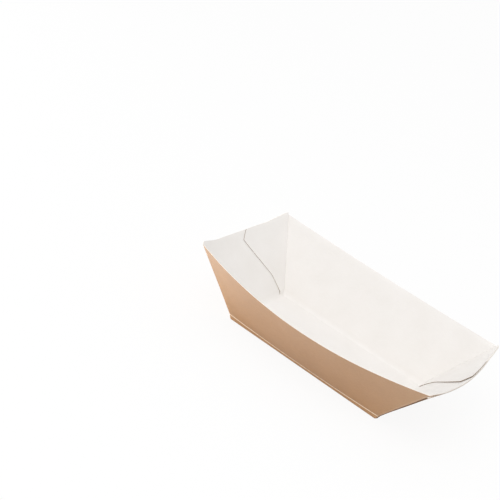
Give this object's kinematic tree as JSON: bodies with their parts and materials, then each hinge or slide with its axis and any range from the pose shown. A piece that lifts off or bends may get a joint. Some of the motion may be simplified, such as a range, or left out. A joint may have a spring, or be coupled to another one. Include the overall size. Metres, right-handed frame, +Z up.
{
  "type": "paper food tray",
  "caption": "Open takeaway tray folded and glued from one sheet of paperboard, with a flat base, flared walls, curved cut rims and glue flaps inside the ends.",
  "frame": {"origin": "on the floor, under the middle of the tray's outline; the underside of the base is at z = 0", "axes": "+X along the long walls, +Y from the near long wall to the far one, +Z up out of the open top"},
  "size_m": [0.2198, 0.14, 0.0564],
  "materials": {
    "paperboard": "matte board, kraft brown outside and white inside, pale at the cut edges"
  },
  "bodies": {
    "root": {"tray": "paperboard"}
  },
  "joints": []
}
